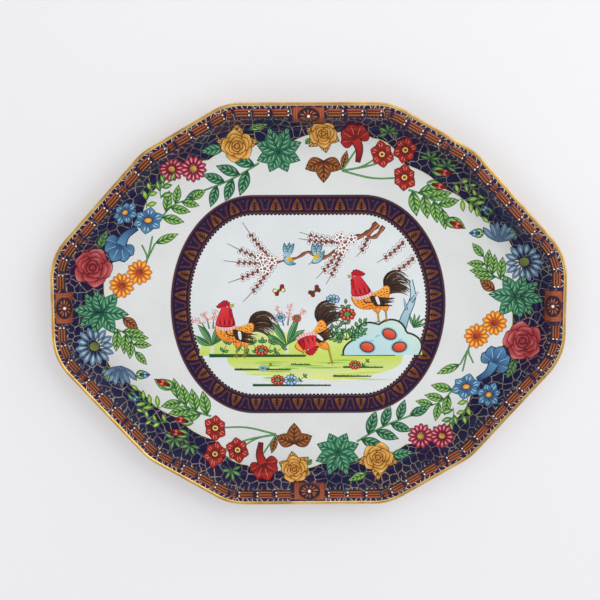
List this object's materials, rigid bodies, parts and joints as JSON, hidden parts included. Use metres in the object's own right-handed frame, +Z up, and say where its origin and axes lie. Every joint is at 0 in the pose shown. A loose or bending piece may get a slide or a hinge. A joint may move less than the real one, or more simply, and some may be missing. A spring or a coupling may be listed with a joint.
{
  "type": "serving tray",
  "caption": "Large printed tin serving tray: shallow drawn dish with an elongated twelve-sided outline, a flat ledge and a wired hem, with a floral border round a farmyard picture.",
  "frame": {"origin": "centre of the floor's underside, which is the surface the tray stands on", "axes": "+X along the tray's length, +Y across it towards the top of the picture, +Z up out of the floor"},
  "size_m": [0.5, 0.393, 0.025],
  "materials": {
    "lacquered_tinplate": "gold-lacquered tinplate, satin",
    "steel_wire": "drawn wire",
    "printed_enamel": "white enamel printed in colours under a clear gloss varnish"
  },
  "bodies": {
    "root": {"tray_pressing": "lacquered_tinplate", "rim_wire": "steel_wire", "printed_face": "printed_enamel"}
  },
  "joints": []
}
